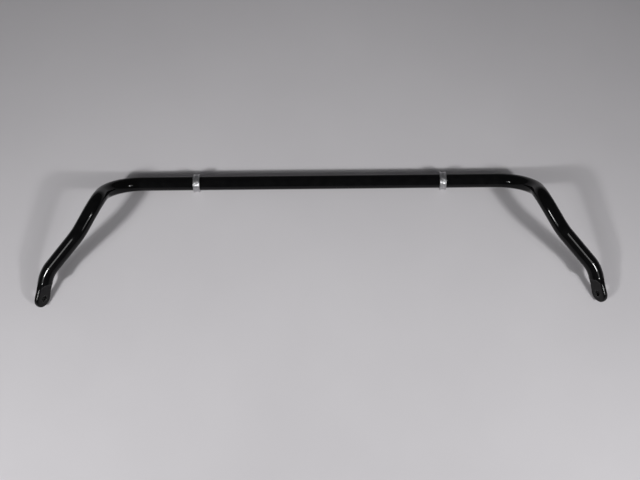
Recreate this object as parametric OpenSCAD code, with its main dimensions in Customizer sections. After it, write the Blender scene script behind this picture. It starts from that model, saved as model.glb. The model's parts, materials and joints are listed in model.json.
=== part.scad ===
// One-piece stabiliser (sway) bar with forged link eyes and two crimped stop rings.
// Millimetres, +Z up. X runs along the straight middle section and -Y is the way the arms reach.
// The origin is on the surface that the bar lies on, below the middle of its outline.

/* [Bar] */
// Diameter of the round spring-steel bar
bar_d = 30; // [28:0.5:32]
// Bend radius of the shoulder, where the straight section turns into the arm
shoulder_bend_r = 77; // [60:1:88]
// Bend radius of the crest, where the arm levels out
crest_bend_r = 45; // [40:1:60]
// Bend radius of the flare, where the arm swings slightly outward
flare_bend_r = 99; // [80:1:140]
// Bend radius of the knee, just before the link eye
knee_bend_r = 76; // [60:1:84]

/* [Arm layout, one side] */
// Distance from the middle of the bar to the shoulder corner
shoulder_x = 447; // [440:1:454]
// Distance from the middle of the bar to the crest corner
crest_x = 453; // [446:1:460]
// Forward reach of the crest corner
crest_reach = 75; // [65:1:85]
// Height of the crest corner above the bar's axis
crest_rise = 90; // [80:1:100]
// Distance from the middle of the bar to the flare corner
flare_x = 489; // [488:1:496]
// Forward reach of the flare corner
flare_reach = 138; // [130:1:139]
// Height of the flare corner above the bar's axis
flare_rise = 73; // [71:1:80]
// Distance from the middle of the bar to the knee corner
knee_x = 558; // [552:1:559]
// Forward reach of the knee corner
knee_reach = 206; // [196:1:207]
// Height of the knee corner above the bar's axis
knee_rise = 29.5; // [28:0.5:36]
// Distance from the middle of the bar to the centre of the link hole
eye_x = 571; // [571:1:578]
// Forward reach of the link hole's centre
eye_reach = 250.5; // [250:0.5:260]
// Height of the link hole's centre above the surface that the bar lies on
eye_height = 20.1; // [19.5:0.05:21.5]

/* [Link eye] */
// Width of the flattened eye, which is also the diameter of its round end
eye_w = 40; // [36:0.5:42]
// Thickness of the flattened eye
eye_t = 11; // [10:0.5:14]
// Diameter of the hole for the drop link's stud
eye_hole_d = 12.2; // [10.2:0.1:14.2]
// Radius of the forged rim around the eye
eye_rim_r = 3; // [2:0.5:4]
// Upward tilt of the eye's inboard face
eye_tilt = 18; // [0:1:25]
// Length of the forged flat behind the hole
eye_flat_l = 25; // [23:0.5:26.5]
// Length of the blend from the flat to the round bar
eye_blend_l = 7.5; // [6:0.5:9]
// Chamfer at both mouths of the hole
hole_chamfer = 0.8; // [0.4:0.1:1.2]

/* [Stop rings] */
// Distance from the middle of the bar to the middle of each ring
ring_x = 261; // [245:1:275]
// Width of each ring along the bar
ring_w = 13.5; // [11:0.5:16]
// Thickness of the ring's wall at its two raised edges
ring_wall = 4.4; // [3.5:0.1:5]
// Depth of the waist that the crimping jaws leave
ring_waist = 0.7; // [0.3:0.1:1]
// Width of each raised edge
ring_edge_w = 2.2; // [1.5:0.1:3]
// Number of flats that the crimping jaws leave
ring_jaws = 8; // [6:1:10]
// Depth of each jaw's flat below the waist
ring_jaw_depth = 0.5; // [0.3:0.1:0.8]
// Chamfer on the outer corners of the ring
ring_chamfer = 0.6; // [0.3:0.1:0.8]

/* [Hidden] */
$fn = 96;
hull_fn = 32;
bar_r = bar_d / 2;
eye_r = eye_w / 2;
ring_r = bar_r + ring_wall;
// The rings are the widest round part of the straight section, so it lies on them.
axis_z = ring_r;
// The bender's clamps leave a hairline groove where a bend begins or ends.
groove_w = 0.1;
groove_depth = 0.1;
groove_core_l = 1;
// Thickness of a slice that stands for one section of the forged blend
slice = 0.5;
// How far a faceted blend stays below the exact surfaces that it meets
blend_inset = 0.1;
// Corners of the right-hand arm's centreline, and the centre of its link hole
shoulder = [shoulder_x, 0, 0];
crest = [crest_x, -crest_reach, crest_rise];
flare = [flare_x, -flare_reach, flare_rise];
knee = [knee_x, -knee_reach, knee_rise];
eye = [eye_x, -eye_reach, eye_height - axis_z];
// Directions of the five straight stretches
main_dir = [1, 0, 0];
rise_dir = unit(crest - shoulder);
slope_dir = unit(flare - crest);
fall_dir = unit(knee - flare);
eye_dir = unit(eye - knee);
// Direction through the link hole, towards the middle of the bar
hole_dir = unit(cross(eye_dir, [0, 0, 1])) * cos(eye_tilt)
    + cross(unit(cross(eye_dir, [0, 0, 1])), eye_dir) * sin(eye_tilt);
// The bar's axis stands back from the origin, so that the outline's middle is at Y = 0.
axis_y = (eye_reach + eye_side(hole_dir[1]) - ring_r) / 2;
// Axes of the four bends
shoulder_axis = unit(cross(main_dir, rise_dir));
crest_axis = unit(cross(rise_dir, slope_dir));
flare_axis = unit(cross(slope_dir, fall_dir));
knee_axis = unit(cross(fall_dir, eye_dir));
// Distance from each corner to where its bend begins and ends
shoulder_l = corner_length(main_dir, rise_dir, shoulder_bend_r);
crest_l = corner_length(rise_dir, slope_dir, crest_bend_r);
flare_l = corner_length(slope_dir, fall_dir, flare_bend_r);
knee_l = corner_length(fall_dir, eye_dir, knee_bend_r);
// Straight lengths between the bends
middle_l = shoulder_x - shoulder_l;
rise_l = norm(crest - shoulder) - shoulder_l - crest_l;
slope_l = norm(flare - crest) - crest_l - flare_l;
fall_l = norm(knee - flare) - flare_l - knee_l;
end_l = norm(eye - knee) - knee_l - eye_flat_l - eye_blend_l;

function unit(v) = v / norm(v);
// Half the eye's extent along an axis, from the hole direction's component on that axis
function eye_side(c) = (eye_r - eye_rim_r) * sqrt(1 - c * c) + eye_rim_r + (eye_t / 2 - eye_rim_r) * abs(c);
function turn_angle(u, v) = acos(u * v);
function corner_length(u, v, r) = r * tan(turn_angle(u, v) / 2);
// Turn about a direction that takes one vector across it to another
function twist_angle(from, to, about) = atan2(cross(from, to) * about, from * to);

// A straight stretch of bar along +Z, with what follows it. A hairline witness groove marks each end.
module straight(l) {
    translate([0, 0, groove_w]) cylinder(r = bar_r, h = l - 2 * groove_w);
    for (z = [0, l])
        translate([0, 0, z]) cylinder(r = bar_r - groove_depth, h = groove_core_l, center = true);
    translate([0, 0, l]) children();
}

// A bend from +Z towards +X about +Y, with what follows it.
module bend(r, angle) {
    translate([r, 0, 0])
    rotate([90, 0, 180])
    rotate_extrude(angle = angle)
    translate([r, 0])
    circle(r = bar_r);
    translate([r, 0, 0])
    rotate([0, angle, 0])
    translate([-r, 0, 0])
    children();
}

// Half outline of the round end of the eye, with its forged rim, for turning about the hole.
module eye_profile() {
    half_t = eye_t / 2;
    translate([0, -half_t]) square([eye_r - eye_rim_r, eye_t]);
    translate([0, eye_rim_r - half_t]) square([eye_r, eye_t - 2 * eye_rim_r]);
    for (side = [-1, 1])
        translate([eye_r - eye_rim_r, side * (half_t - eye_rim_r)]) circle(r = eye_rim_r);
}

// Outline of the forged flat across the bar: a slab with rounded edges.
module flat_outline(w, t) {
    r = eye_rim_r;
    square([w - 2 * r, t], center = true);
    square([w, t - 2 * r], center = true);
    for (sx = [-1, 1], sy = [-1, 1])
        translate([sx * (w / 2 - r), sy * (t / 2 - r)]) circle(r = r);
}

// One thin slice of the forged blend, at a height along the bar.
module blend_slice(z) {
    translate([0, 0, z])
    linear_extrude(slice, center = true)
    children();
}

// The blend from the round bar to the flat, and the flat up to the hole.
module eye_neck() {
    $fn = hull_fn;
    t = eye_t - 2 * blend_inset;
    neck_w = eye_w - 3;
    hull() {
        blend_slice(0) circle(r = bar_r - groove_depth - blend_inset);
        blend_slice(eye_blend_l) flat_outline(neck_w, t);
    }
    hull() {
        blend_slice(eye_blend_l) flat_outline(neck_w, t);
        blend_slice(eye_blend_l + eye_flat_l) flat_outline(eye_w - 2 * blend_inset, t);
    }
}

// The link eye, from the end of the round bar: X across the flat, Y through the hole, Z towards the tip.
module link_eye() {
    half_t = eye_t / 2;
    hole_r = eye_hole_d / 2;
    hole_z = eye_blend_l + eye_flat_l;
    difference() {
        union() {
            translate([0, 0, hole_z]) rotate([90, 0, 0]) rotate_extrude() eye_profile();
            eye_neck();
        }
        translate([0, 0, hole_z])
        rotate([90, 0, 0])
        cylinder(r = hole_r, h = 2 * eye_t, center = true);
        for (side = [-1, 1])
            translate([0, 0, hole_z])
            rotate([side * 90, 0, 0])
            translate([0, 0, half_t - hole_chamfer])
            cylinder(r1 = hole_r, r2 = hole_r + 2 * hole_chamfer, h = 2 * hole_chamfer);
    }
}

// The right-hand arm as a bender makes it, from the end of the middle section to the link eye:
// turn the bar to the next bend's plane, bend, feed a length.
module arm() {
    translate([middle_l, axis_y, axis_z])
    rotate([0, 90, 0])
    rotate([0, 0, twist_angle([0, 1, 0], shoulder_axis, main_dir)])
    bend(shoulder_bend_r, turn_angle(main_dir, rise_dir))
    straight(rise_l)
    rotate([0, 0, twist_angle(shoulder_axis, crest_axis, rise_dir)])
    bend(crest_bend_r, turn_angle(rise_dir, slope_dir))
    straight(slope_l)
    rotate([0, 0, twist_angle(crest_axis, flare_axis, slope_dir)])
    bend(flare_bend_r, turn_angle(slope_dir, fall_dir))
    straight(fall_l)
    rotate([0, 0, twist_angle(flare_axis, knee_axis, fall_dir)])
    bend(knee_bend_r, turn_angle(fall_dir, eye_dir))
    straight(end_l)
    rotate([0, 0, twist_angle(knee_axis, hole_dir, eye_dir)])
    link_eye();
}

module bar() {
    color([0.03, 0.03, 0.035]) {
        translate([-middle_l, axis_y, axis_z]) rotate([0, 90, 0]) straight(2 * middle_l);
        arm();
        mirror([1, 0, 0]) arm();
    }
}

// Outline of a stop ring's wall: two raised edges with a waist between them.
module ring_profile() {
    half_w = ring_w / 2;
    waist_r = ring_r - ring_waist;
    slope = ring_waist;
    polygon([
        [bar_r, -half_w],
        [ring_r - ring_chamfer, -half_w],
        [ring_r, -half_w + ring_chamfer],
        [ring_r, -half_w + ring_edge_w],
        [waist_r, -half_w + ring_edge_w + slope],
        [waist_r, half_w - ring_edge_w - slope],
        [ring_r, half_w - ring_edge_w],
        [ring_r, half_w - ring_chamfer],
        [ring_r - ring_chamfer, half_w],
        [bar_r, half_w]
    ]);
}

// Stop ring, crimped on the bar, with the flats of the crimping jaws in the floor of its waist.
module stop_ring() {
    jaw_w = ring_w - 2 * ring_edge_w - 3 * ring_waist;
    flat_r = ring_r - ring_waist - ring_jaw_depth;
    color([0.72, 0.72, 0.73])
    rotate([0, 90, 0])
    difference() {
        rotate_extrude() ring_profile();
        for (i = [0:ring_jaws - 1])
            rotate([0, 0, (i + 0.5) * 360 / ring_jaws])
            translate([flat_r, -bar_r, -jaw_w / 2])
            cube([ring_wall, bar_d, jaw_w]);
    }
}

module collar_left() {
    translate([-ring_x, axis_y, axis_z]) stop_ring();
}

module collar_right() {
    translate([ring_x, axis_y, axis_z]) stop_ring();
}

bar();
collar_left();
collar_right();
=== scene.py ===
"""One-piece gloss-black sway bar with forged link eyes and two crimped aluminium stop rings."""

import json
import math

import bmesh
import bpy
import numpy as np
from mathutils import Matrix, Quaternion, Vector


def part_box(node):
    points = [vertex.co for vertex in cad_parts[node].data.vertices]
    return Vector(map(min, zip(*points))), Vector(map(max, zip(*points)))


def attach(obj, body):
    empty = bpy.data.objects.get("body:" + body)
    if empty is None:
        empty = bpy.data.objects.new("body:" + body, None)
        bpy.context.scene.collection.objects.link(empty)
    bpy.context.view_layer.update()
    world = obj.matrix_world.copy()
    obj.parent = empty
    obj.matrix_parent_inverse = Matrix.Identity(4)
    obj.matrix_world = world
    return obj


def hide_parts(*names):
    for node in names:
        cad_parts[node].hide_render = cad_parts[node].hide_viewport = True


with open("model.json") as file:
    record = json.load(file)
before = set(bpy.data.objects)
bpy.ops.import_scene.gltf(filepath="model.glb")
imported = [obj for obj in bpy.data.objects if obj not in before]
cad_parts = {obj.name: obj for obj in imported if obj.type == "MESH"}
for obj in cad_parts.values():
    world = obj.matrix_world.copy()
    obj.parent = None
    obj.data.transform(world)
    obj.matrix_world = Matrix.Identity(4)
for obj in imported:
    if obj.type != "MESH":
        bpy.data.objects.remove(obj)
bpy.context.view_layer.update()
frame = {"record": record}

MM = 0.001
MOUNTS = {m["name"]: m for m in frame["record"]["mounts"]}

# ---------------------------------------------------------------- sizes, in mm as in the CAD
BAR_R = MOUNTS["bush_seat_right"]["dims"]["r_mm"]
AXIS_Y = MOUNTS["bush_seat_right"]["pos_m"][1] / MM
AXIS_Z = MOUNTS["bush_seat_right"]["pos_m"][2] / MM
EYE = np.array(MOUNTS["link_eye_right"]["pos_m"]) / MM
HOLE_DIR = np.array(MOUNTS["link_eye_right"]["axis"])
HOLE_R = MOUNTS["link_eye_right"]["dims"]["r_mm"]
HOLE_CHAMFER = 0.8
EYE_R = 20.0
EYE_TAPER = 0.07  # how much half the eye's width loses per mm behind the hole
EYE_HALF_T = 5.5  # half the thickness between the coined flats
FORGED_HALF_T = 7.4  # half the thickness beside the flats, before they are coined
WIDENS = (20.0, 36.0)  # from the hole back, where the bar widens into the eye
FLATTENS = (17.0, 35.0)  # from the hole back, where the bar is pressed flat
FLAT_END = 27.0  # from the hole back to the end of the coined flat
FLAT_ARCH = (6.0, 17.0)  # the flat's end is an arch: its depth and half its width
DIE_R = 7.5  # radius of the edge of the forging die
CREASE = 1.1  # rounding where the die's mark meets the bar
CORNERS = [  # of the right arm's centreline, from the bar's own axis, and each corner's bend radius
    (np.array([447.0, 0.0, 0.0]), 77.0),
    (np.array([453.0, -75.0, 90.0]), 45.0),
    (np.array([489.0, -138.0, 73.0]), 99.0),
    (np.array([558.0, -206.0, 29.5]), 76.0),
]
AROUND = 96  # points round the bar
STRAIGHT_STEP, BEND_STEP, EYE_STEP = 12.0, 2.0, 0.6  # between the sections along the bar


def unit(v):
    """The vector at length 1."""
    return v / np.linalg.norm(v)


def smooth(x, lo, hi):
    """0 below lo, 1 above hi, and a smooth step between."""
    t = np.clip((x - lo) / (hi - lo), 0.0, 1.0)
    return t * t * (3 - 2 * t)


def soft_min(x, limit, k):
    """min(x, limit) with its corner rounded over k."""
    h = np.clip(0.5 + 0.5 * (limit - x) / k, 0.0, 1.0)
    return limit * (1 - h) + x * h - k * h * (1 - h)


# ---------------------------------------------------------------- the bar's centreline
def centreline():
    """Points and tangents from the bar's middle to the right eye's hole, and the way left to the hole."""
    axis = np.array([0.0, AXIS_Y, AXIS_Z])
    corners = [c + axis for c, _ in CORNERS] + [EYE]
    dirs = [np.array([1.0, 0.0, 0.0])]
    dirs += [unit(b - a) for a, b in zip(corners[:-1], corners[1:])]
    points, tangents = [], []

    def run(start, end, step):
        n = max(1, math.ceil(np.linalg.norm(end - start) / step))
        for i in range(n):
            points.append(start + (end - start) * i / n)
            tangents.append(unit(end - start))

    here = axis.copy()
    for (_, radius), corner, a, b in zip(CORNERS, corners, dirs[:-1], dirs[1:]):
        angle = math.acos(float(a @ b))
        reach = radius * math.tan(angle / 2)
        inward = unit(b - a * float(a @ b))
        begin = corner - a * reach
        run(here, begin, STRAIGHT_STEP)
        n = math.ceil(angle * radius / BEND_STEP)
        for i in range(n):
            t = angle * i / n
            points.append(begin + radius * (math.sin(t) * a + (1 - math.cos(t)) * inward))
            tangents.append(math.cos(t) * a + math.sin(t) * inward)
        here = corner + b * reach
    run(here, EYE, EYE_STEP)
    points.append(EYE)
    tangents.append(dirs[-1])
    points, tangents = np.array(points), np.array(tangents)
    steps = np.linalg.norm(np.diff(points, axis=0), axis=1)
    to_go = np.append(np.cumsum(steps[::-1])[::-1], 0.0)
    return points, tangents, to_go


def frames(tangents):
    """Directions across the bar, u across the flat and v through the hole, turned least from the eye back."""
    u = [None] * len(tangents)
    v = [None] * len(tangents)
    v[-1] = HOLE_DIR
    u[-1] = unit(np.cross(HOLE_DIR, tangents[-1]))
    for i in range(len(tangents) - 2, -1, -1):
        turn = Vector(tangents[i + 1]).rotation_difference(Vector(tangents[i]))
        u[i] = np.array(turn @ Vector(u[i + 1]))
        u[i] = unit(u[i] - tangents[i] * (u[i] @ tangents[i]))
        v[i] = np.cross(tangents[i], u[i])
    return np.array(u), np.array(v)


def section(to_go):
    """Outline of the bar that far before the hole: round, then pressed between two dies into the flat."""
    angle = np.linspace(0, 2 * math.pi, AROUND, endpoint=False)
    c, s = np.cos(angle), np.sin(angle)
    wide = 1 - smooth(to_go, *WIDENS)
    low = 1 - smooth(to_go, *FLATTENS)
    half_w = BAR_R + (EYE_R - EYE_TAPER * to_go - BAR_R) * wide
    half_h = BAR_R + (FORGED_HALF_T - BAR_R) * low
    power = 2 / (2 + 1.1 * low)  # a superellipse: round at exponent 2, fuller at 3.1
    x = half_w * np.sign(c) * np.abs(c) ** power
    z = half_h * np.sign(s) * np.abs(s) ** power
    arch_depth, arch_half_w = FLAT_ARCH
    past = to_go - FLAT_END + arch_depth * (x / arch_half_w) ** 2
    die = EYE_HALF_T + (DIE_R - np.sqrt(DIE_R**2 - np.clip(past, 0.0, DIE_R) ** 2))
    z = np.where(past < DIE_R, np.sign(z) * soft_min(np.abs(z), die, CREASE), z)
    return x, z


# ---------------------------------------------------------------- meshes
def new_object(name, verts, faces):
    """A smooth-shaded object from points in metres and faces."""
    mesh = bpy.data.meshes.new(name)
    mesh.from_pydata([tuple(p) for p in verts], [], faces)
    mesh.validate()
    mesh.update()
    obj = bpy.data.objects.new(name, mesh)
    bpy.context.scene.collection.objects.link(obj)
    mesh.polygons.foreach_set("use_smooth", [True] * len(mesh.polygons))
    return obj


def right_half():
    """Points (mm) and faces of the bar from its middle to the right eye's tip, open at the middle."""
    points, tangents, to_go = centreline()
    us, vs = frames(tangents)
    verts, faces = [], []
    for p, u, v, q in zip(points, us, vs, to_go):
        x, z = section(q)
        verts.extend(p + x[:, None] * u + z[:, None] * v)
    rows = len(points)
    for k in range(rows - 1):
        for i in range(AROUND):
            j = (i + 1) % AROUND
            faces.append((k * AROUND + i, k * AROUND + j, (k + 1) * AROUND + j, (k + 1) * AROUND + i))
    # the round end: half of the last section, turned about the hole
    x, z = section(0.0)
    u, v, t, p = us[-1], vs[-1], tangents[-1], points[-1]
    last = (rows - 1) * AROUND
    quarter = AROUND // 4
    top, bottom = last + quarter, last + 3 * quarter
    right = [last + (quarter - k) % AROUND for k in range(2 * quarter + 1)]  # top pole, +u side, bottom pole
    left = [last + quarter + k for k in range(2 * quarter + 1)]
    fans = 48
    before = right
    for f in range(1, fans + 1):
        turn = math.pi * f / fans
        if f == fans:
            here = left
        else:
            here = [top]
            for k in range(1, 2 * quarter):
                i = (quarter - k) % AROUND
                here.append(len(verts))
                verts.append(p + x[i] * (math.cos(turn) * u + math.sin(turn) * t) + z[i] * v)
            here.append(bottom)
        for k in range(2 * quarter):
            ring = [before[k], before[k + 1], here[k + 1], here[k]]
            ring = [r for n, r in enumerate(ring) if r not in ring[:n]]
            faces.append(tuple(ring))
        before = here
    return np.array(verts), faces


def cutter():
    """Drill with a chamfer at both faces, for the right eye's hole."""
    top = EYE_HALF_T
    over = 3  # how far the drill stands out of each face
    mouth_r = HOLE_R + HOLE_CHAMFER + over
    outline = [
        (mouth_r, -top - over), (HOLE_R, -top + HOLE_CHAMFER),
        (HOLE_R, top - HOLE_CHAMFER), (mouth_r, top + over),
    ]
    v = HOLE_DIR
    u = unit(np.cross(v, [0.0, 0.0, 1.0]))
    w = np.cross(v, u)
    verts, faces, n = [], [], 96
    for r, h in outline:
        for i in range(n):
            a = 2 * math.pi * i / n
            verts.append((EYE + r * (math.cos(a) * u + math.sin(a) * w) + h * v) * MM)
    for k in range(3):
        for i in range(n):
            j = (i + 1) % n
            faces.append((k * n + i, k * n + j, (k + 1) * n + j, (k + 1) * n + i))
    faces.append(tuple(range(n))[::-1])
    faces.append(tuple(3 * n + i for i in range(n)))
    return np.array(verts), faces


def build_bar():
    """The bar: its right half and the mirror image, joined at the middle and drilled."""
    verts, faces = right_half()
    verts = verts * MM
    count = len(verts)
    both = np.vstack([verts, verts * [-1, 1, 1]])
    all_faces = faces + [tuple(i + count for i in reversed(f)) for f in faces]
    bar = new_object("sway_bar", both, all_faces)
    bm = bmesh.new()
    bm.from_mesh(bar.data)
    bmesh.ops.remove_doubles(bm, verts=[p for p in bm.verts if abs(p.co.x) < 1e-6], dist=1e-6)
    bmesh.ops.recalc_face_normals(bm, faces=bm.faces)
    bm.to_mesh(bar.data)
    bm.free()
    cut_verts, cut_faces = cutter()
    drills = new_object(
        "drills",
        np.vstack([cut_verts, cut_verts * [-1, 1, 1]]),
        cut_faces + [tuple(i + len(cut_verts) for i in reversed(f)) for f in cut_faces],
    )
    bm = bmesh.new()
    bm.from_mesh(drills.data)
    bmesh.ops.recalc_face_normals(bm, faces=bm.faces)
    bm.to_mesh(drills.data)
    bm.free()
    drill = bar.modifiers.new("drill", "BOOLEAN")
    drill.operation = "DIFFERENCE"
    drill.solver = "EXACT"
    drill.object = drills
    dg = bpy.context.evaluated_depsgraph_get()
    cut = bpy.data.meshes.new_from_object(bar.evaluated_get(dg))
    bar.modifiers.clear()
    bar.data = cut
    bpy.data.objects.remove(drills)
    cut.polygons.foreach_set("use_smooth", [True] * len(cut.polygons))
    cut.set_sharp_from_angle(angle=math.radians(28))
    return bar


def mask_eyes(bar):
    """Stores for the paint: coined flat, closeness to the mouth of a hole, and forged part of the bar."""
    mesh = bar.data
    co = np.empty(len(mesh.vertices) * 3)
    mesh.vertices.foreach_get("co", co)
    co = co.reshape(-1, 3) / MM
    co[:, 0] = np.abs(co[:, 0])
    eye_reach, rim_w = 36, 2.5  # round the hole: the whole eye, and the part of its mouth that chips
    away = co - EYE
    height = np.abs(away @ HOLE_DIR)
    flatness = np.abs(height - EYE_HALF_T) < 0.12
    near = np.linalg.norm(away, axis=1) < eye_reach
    radial = np.linalg.norm(away - np.outer(away @ HOLE_DIR, HOLE_DIR), axis=1)
    rim = np.clip(1 - (radial - HOLE_R - HOLE_CHAMFER) / rim_w, 0, 1) * near
    forged = 1 - smooth(np.linalg.norm(away, axis=1), 25.0, 33.0)
    for name, values in (("coined", flatness * near), ("rim", rim), ("forged", forged)):
        attr = mesh.attributes.new(name, "FLOAT", "POINT")
        attr.data.foreach_set("value", values.astype(np.float32))


def build_ring(name, node, seed):
    """A stop ring: two raised edges, and a waist that eight jaws have pressed flat, a little askew."""
    lo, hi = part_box(node)
    centre = np.array([(lo[i] + hi[i]) / 2 for i in range(3)]) / MM
    half_w = (hi[0] - lo[0]) / 2 / MM
    out_r = (hi[2] - lo[2]) / 2 / MM
    rng = np.random.default_rng(seed)
    jaws = 8
    at = (np.arange(jaws) + 0.5) * 2 * math.pi / jaws + rng.normal(0, 0.035, jaws)  # each jaw's angle
    skew = rng.normal(0, 0.02, jaws) + 0.028 * (1 if seed % 2 else -1)  # its slant, in radians per mm
    depth = 0.55 + rng.uniform(-0.15, 0.3, jaws)  # how far it has pressed below the waist
    waist, edge_w, chamfer = 0.7, 2.2, 0.6  # depth of the waist, width of the raised edges, their chamfer
    gap = 0.02  # between the ring and the bar
    n = 192  # points round the ring
    xs = np.concatenate([
        np.linspace(-half_w + chamfer, -half_w + edge_w, 6),
        np.linspace(-half_w + edge_w + 0.2, half_w - edge_w - 0.2, 30),
        np.linspace(half_w - edge_w, half_w - chamfer, 6),
    ])
    phi = np.linspace(0, 2 * math.pi, n, endpoint=False)
    face = (BAR_R + gap, BAR_R + 0.5, out_r - chamfer - 0.02)  # radii on the end faces, from the bore out
    rows = [(-half_w, np.full(n, r)) for r in face]
    edge = []  # points round the outer edge: how far in from the end and from the outer radius
    for a in (0.25, 0.75):
        turn = a * math.pi / 2
        edge.append((chamfer * (1 - math.cos(turn)), chamfer * (1 - math.sin(turn))))
    rows += [(-half_w + along, np.full(n, out_r - down)) for along, down in edge]
    for x in xs:
        inside = half_w - edge_w - abs(x)
        base = out_r - waist * smooth(inside, -0.1, 0.9)
        r = np.full(n, base)
        for a, s, d in zip(at, skew, depth):
            off = (phi - a - s * x + math.pi) % (2 * math.pi) - math.pi
            flat = np.where(np.abs(off) < 1.0, (out_r - waist - d) / np.cos(np.clip(off, -1, 1)), 99.0)
            pressed = soft_min(r, flat, 0.12)
            press = smooth(inside, 0.5, 1.3)
            r = r * (1 - press) + pressed * press
        rows.append((x, np.minimum(r, out_r)))
    rows += [(half_w - along, np.full(n, out_r - down)) for along, down in edge[::-1]]
    rows += [(half_w, np.full(n, r)) for r in face[::-1]]
    verts, faces = [], []
    for x, r in rows:
        for p, q in zip(phi, r):
            point = centre + (x, q * math.cos(p), q * math.sin(p))
            verts.append(tuple(point * MM))
    for k in range(len(rows)):
        m = (k + 1) % len(rows)
        for i in range(n):
            j = (i + 1) % n
            faces.append((k * n + i, k * n + j, m * n + j, m * n + i))
    ring = new_object(name, verts, faces)
    bm = bmesh.new()
    bm.from_mesh(ring.data)
    bmesh.ops.recalc_face_normals(bm, faces=bm.faces)
    bm.to_mesh(ring.data)
    bm.free()
    ring.data.set_sharp_from_angle(angle=math.radians(35))
    return ring


# ---------------------------------------------------------------- materials
class Nodes:
    """Short names for building a node tree."""

    def __init__(self, name):
        self.material = bpy.data.materials.new(name)
        self.material.use_nodes = True
        self.tree = self.material.node_tree
        self.tree.nodes.clear()
        self.out = self.tree.nodes.new("ShaderNodeOutputMaterial")
        self.bsdf = self.tree.nodes.new("ShaderNodeBsdfPrincipled")
        self.link(self.bsdf.outputs[0], self.out.inputs[0])

    def link(self, a, b):
        self.tree.links.new(a, b)

    def add(self, kind, **settings):
        node = self.tree.nodes.new(kind)
        for key, value in settings.items():
            setattr(node, key, value)
        return node

    def position(self, scale=(1, 1, 1)):
        coords = self.add("ShaderNodeTexCoord")
        mapping = self.add("ShaderNodeMapping")
        mapping.inputs["Scale"].default_value = scale
        self.link(coords.outputs["Object"], mapping.inputs[0])
        return mapping.outputs[0]

    def noise(self, scale, detail=2.0, rough=0.5, coords=None):
        node = self.add("ShaderNodeTexNoise")
        node.inputs["Scale"].default_value = scale
        node.inputs["Detail"].default_value = detail
        node.inputs["Roughness"].default_value = rough
        self.link(coords or self.position(), node.inputs["Vector"])
        return node.outputs[0]

    def span(self, value, a, b, c, d):
        """The value, taken from a..b to c..d and kept there."""
        node = self.add("ShaderNodeMapRange")
        for k, v in zip(("From Min", "From Max", "To Min", "To Max"), (a, b, c, d)):
            node.inputs[k].default_value = v
        self.link(value, node.inputs["Value"])
        return node.outputs[0]

    def math(self, op, a, b):
        node = self.add("ShaderNodeMath", operation=op)
        for socket, value in zip(node.inputs, (a, b)):
            if isinstance(value, (int, float)):
                socket.default_value = value
            else:
                self.link(value, socket)
        return node.outputs[0]

    def mix(self, factor, a, b):
        node = self.add("ShaderNodeMix", data_type="RGBA")
        for socket, value in zip((node.inputs[0], node.inputs[6], node.inputs[7]), (factor, a, b)):
            if isinstance(value, (tuple, float)):
                socket.default_value = value
            else:
                self.link(value, socket)
        return node.outputs[2]

    def attribute(self, name):
        return self.add("ShaderNodeAttribute", attribute_name=name).outputs["Fac"]

    def bump(self, height, strength, distance, before=None):
        node = self.add("ShaderNodeBump")
        node.inputs["Strength"].default_value = strength
        node.inputs["Distance"].default_value = distance
        self.link(height, node.inputs["Height"])
        if before:
            self.link(before, node.inputs["Normal"])
        return node.outputs[0]


def paint():
    """Gloss-black powder coat with orange peel and dust, duller on the flats, chipped at the holes."""
    n = Nodes("gloss_black_paint")
    coined, rim, forged = n.attribute("coined"), n.attribute("rim"), n.attribute("forged")
    cloudy = n.span(n.noise(60, 3), 0.35, 0.65, 0, 1)
    black = n.mix(cloudy, (0.0022, 0.0022, 0.0024, 1), (0.0036, 0.0036, 0.0038, 1))
    dust = n.span(n.noise(1400, 2, 0.6), 0.70, 0.78, 0, 0.25)
    black = n.mix(dust, black, (0.10, 0.10, 0.105, 1))
    uneven = n.span(n.noise(180, 4, 0.6), 0.3, 0.7, 0, 1)
    dull = n.mix(uneven, (0.0028, 0.0028, 0.003, 1), (0.0065, 0.0065, 0.0068, 1))
    coat = n.mix(coined, black, dull)
    spots = n.span(n.noise(700, 3, 0.6), 0.56, 0.62, 0, 1)
    chips = n.math("MULTIPLY", n.span(rim, 0.1, 1.0, 0, 1), spots)
    colour = n.mix(chips, coat, (0.24, 0.235, 0.23, 1))
    n.link(colour, n.bsdf.inputs["Base Color"])
    smudge = n.span(n.noise(22, 4, 0.65), 0.42, 0.72, 0.05, 0.11)
    texture = n.math("ADD", n.math("MULTIPLY", forged, 0.12), n.math("MULTIPLY", coined, 0.18))
    rough = n.math("ADD", smudge, texture)
    n.link(rough, n.bsdf.inputs["Roughness"])
    peel = n.bump(n.noise(420, 2, 0.5), 0.05, 0.0004)
    n.link(n.bump(n.noise(45, 1, 0.4), 0.05, 0.0015, peel), n.bsdf.inputs["Normal"])
    n.bsdf.inputs["Specular IOR Level"].default_value = 0.16
    return n.material


def aluminium():
    """Raw aluminium: turned grooves round the ring, dull oxide and jaw scuffs."""
    n = Nodes("raw_aluminium")
    turned = n.noise(1.0, 2, 0.6, n.position((2600, 60, 60)))
    patches = n.noise(260, 4, 0.65)
    colour = n.mix(n.span(patches, 0.35, 0.7, 0, 1), (0.46, 0.46, 0.47, 1), (0.74, 0.74, 0.75, 1))
    colour = n.mix(n.span(turned, 0.35, 0.75, 0, 0.35), colour, (0.34, 0.34, 0.35, 1))
    n.link(colour, n.bsdf.inputs["Base Color"])
    n.bsdf.inputs["Metallic"].default_value = 1.0
    n.link(n.span(patches, 0.3, 0.75, 0.42, 0.28), n.bsdf.inputs["Roughness"])
    lines = n.bump(turned, 0.25, 0.00012)
    n.link(n.bump(n.noise(420, 3, 0.65), 0.35, 0.0005, lines), n.bsdf.inputs["Normal"])
    return n.material


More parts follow.
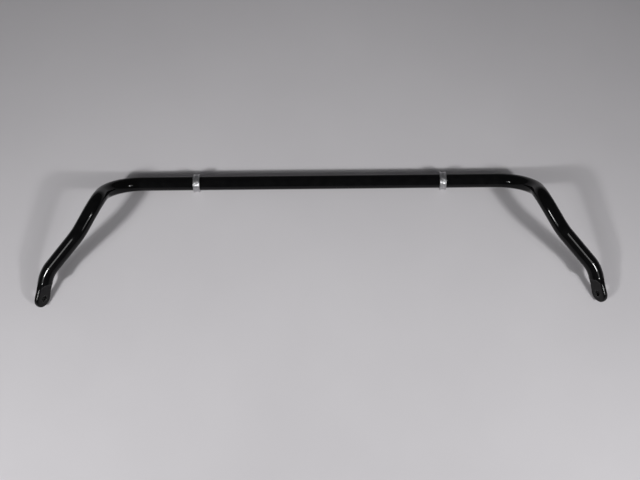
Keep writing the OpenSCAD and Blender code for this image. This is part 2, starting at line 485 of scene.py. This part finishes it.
def floor_paper():
    """Pale matt paper with a faint, slow change of tone."""
    n = Nodes("pale_floor")
    tone = n.mix(n.span(n.noise(3.0, 3), 0.3, 0.7, 0, 1), (0.60, 0.585, 0.605, 1), (0.63, 0.615, 0.635, 1))
    n.link(tone, n.bsdf.inputs["Base Color"])
    n.link(n.span(n.noise(90, 4), 0.3, 0.7, 0.62, 0.74), n.bsdf.inputs["Roughness"])
    n.bsdf.inputs["Specular IOR Level"].default_value = 0.25
    return n.material


# ---------------------------------------------------------------- camera
def place_camera():
    """View from in front and above, a little to the right, turned slightly."""
    target = Vector((-0.00026, AXIS_Y * MM - 0.12375, 0.0))
    distance, elevation, yaw, roll = 2.2079, math.radians(71.06), math.radians(1.01), math.radians(-1.52)
    back = Vector((
        math.sin(yaw) * math.cos(elevation), -math.cos(yaw) * math.cos(elevation), math.sin(elevation),
    ))
    camera = bpy.data.objects.new("camera", bpy.data.cameras.new("camera"))
    bpy.context.scene.collection.objects.link(camera)
    camera.data.sensor_width, camera.data.lens = 36.0, 58.933125
    camera.data.clip_start, camera.data.clip_end = 0.05, 50.0
    camera.rotation_mode = "QUATERNION"
    camera.rotation_quaternion = (-back).to_track_quat("-Z", "Y") @ Quaternion((0, 0, 1), roll)
    camera.location = target + back * distance
    bpy.context.scene.camera = camera


# ---------------------------------------------------------------- light and floor
def softbox(name, place, aim, reach, size, power):
    """A square softbox with a grid: reach is the tangent of the angle at which its light ends."""
    data = bpy.data.lights.new(name, "AREA")
    data.shape, data.size, data.size_y = "RECTANGLE", size, size
    data.spread = 2 * math.atan(reach)
    data.energy = power
    lamp = bpy.data.objects.new(name, data)
    lamp.location = place
    lamp.rotation_mode = "QUATERNION"
    lamp.rotation_quaternion = (Vector(aim) - Vector(place)).to_track_quat("-Z", "Y")
    bpy.context.scene.collection.objects.link(lamp)


def studio():
    """Two softboxes, each with a small bright core and a wide dim glow, faint room light and the floor."""
    scene = bpy.context.scene
    scene.view_settings.view_transform = "Standard"
    world = bpy.data.worlds.new("room")
    world.use_nodes = True
    background = world.node_tree.nodes["Background"]
    background.inputs[0].default_value = (0.98, 0.97, 1.0, 1)
    background.inputs[1].default_value = 0.094
    scene.world = world
    y = AXIS_Y * MM
    lamps = (  # place, aim, reach, then size and power of the core and of the glow
        ("light_left", (-3.013, y - 2.935, 3.265), (-0.80, y - 0.73, 0.0), 0.306, (0.45, 6.1), (1.8, 3.1)),
        ("light_right", (2.768, y - 2.558, 2.927), (0.81, y - 0.86, 0.0), 0.346, (0.42, 5.9), (1.7, 3.0)),
    )
    for name, place, aim, reach, core, glow in lamps:
        softbox(name, place, aim, reach, *core)
        softbox(name + "_glow", place, aim, reach, *glow)
    size = 12.0
    corners = [(-size, -size, 0), (size, -size, 0), (size, size, 0), (-size, size, 0)]
    floor = new_object("floor", corners, [(0, 1, 2, 3)])
    floor.data.materials.append(floor_paper())


place_camera()
bar = build_bar()
mask_eyes(bar)
bar.data.materials.append(paint())
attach(bar, "root")
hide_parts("bar")

metal = aluminium()
for name, node, seed in (("stop_ring_left", "collar_left", 4), ("stop_ring_right", "collar_right", 7)):
    ring = build_ring(name, node, seed)
    ring.data.materials.append(metal)
    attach(ring, "root")
    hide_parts(node)

studio()
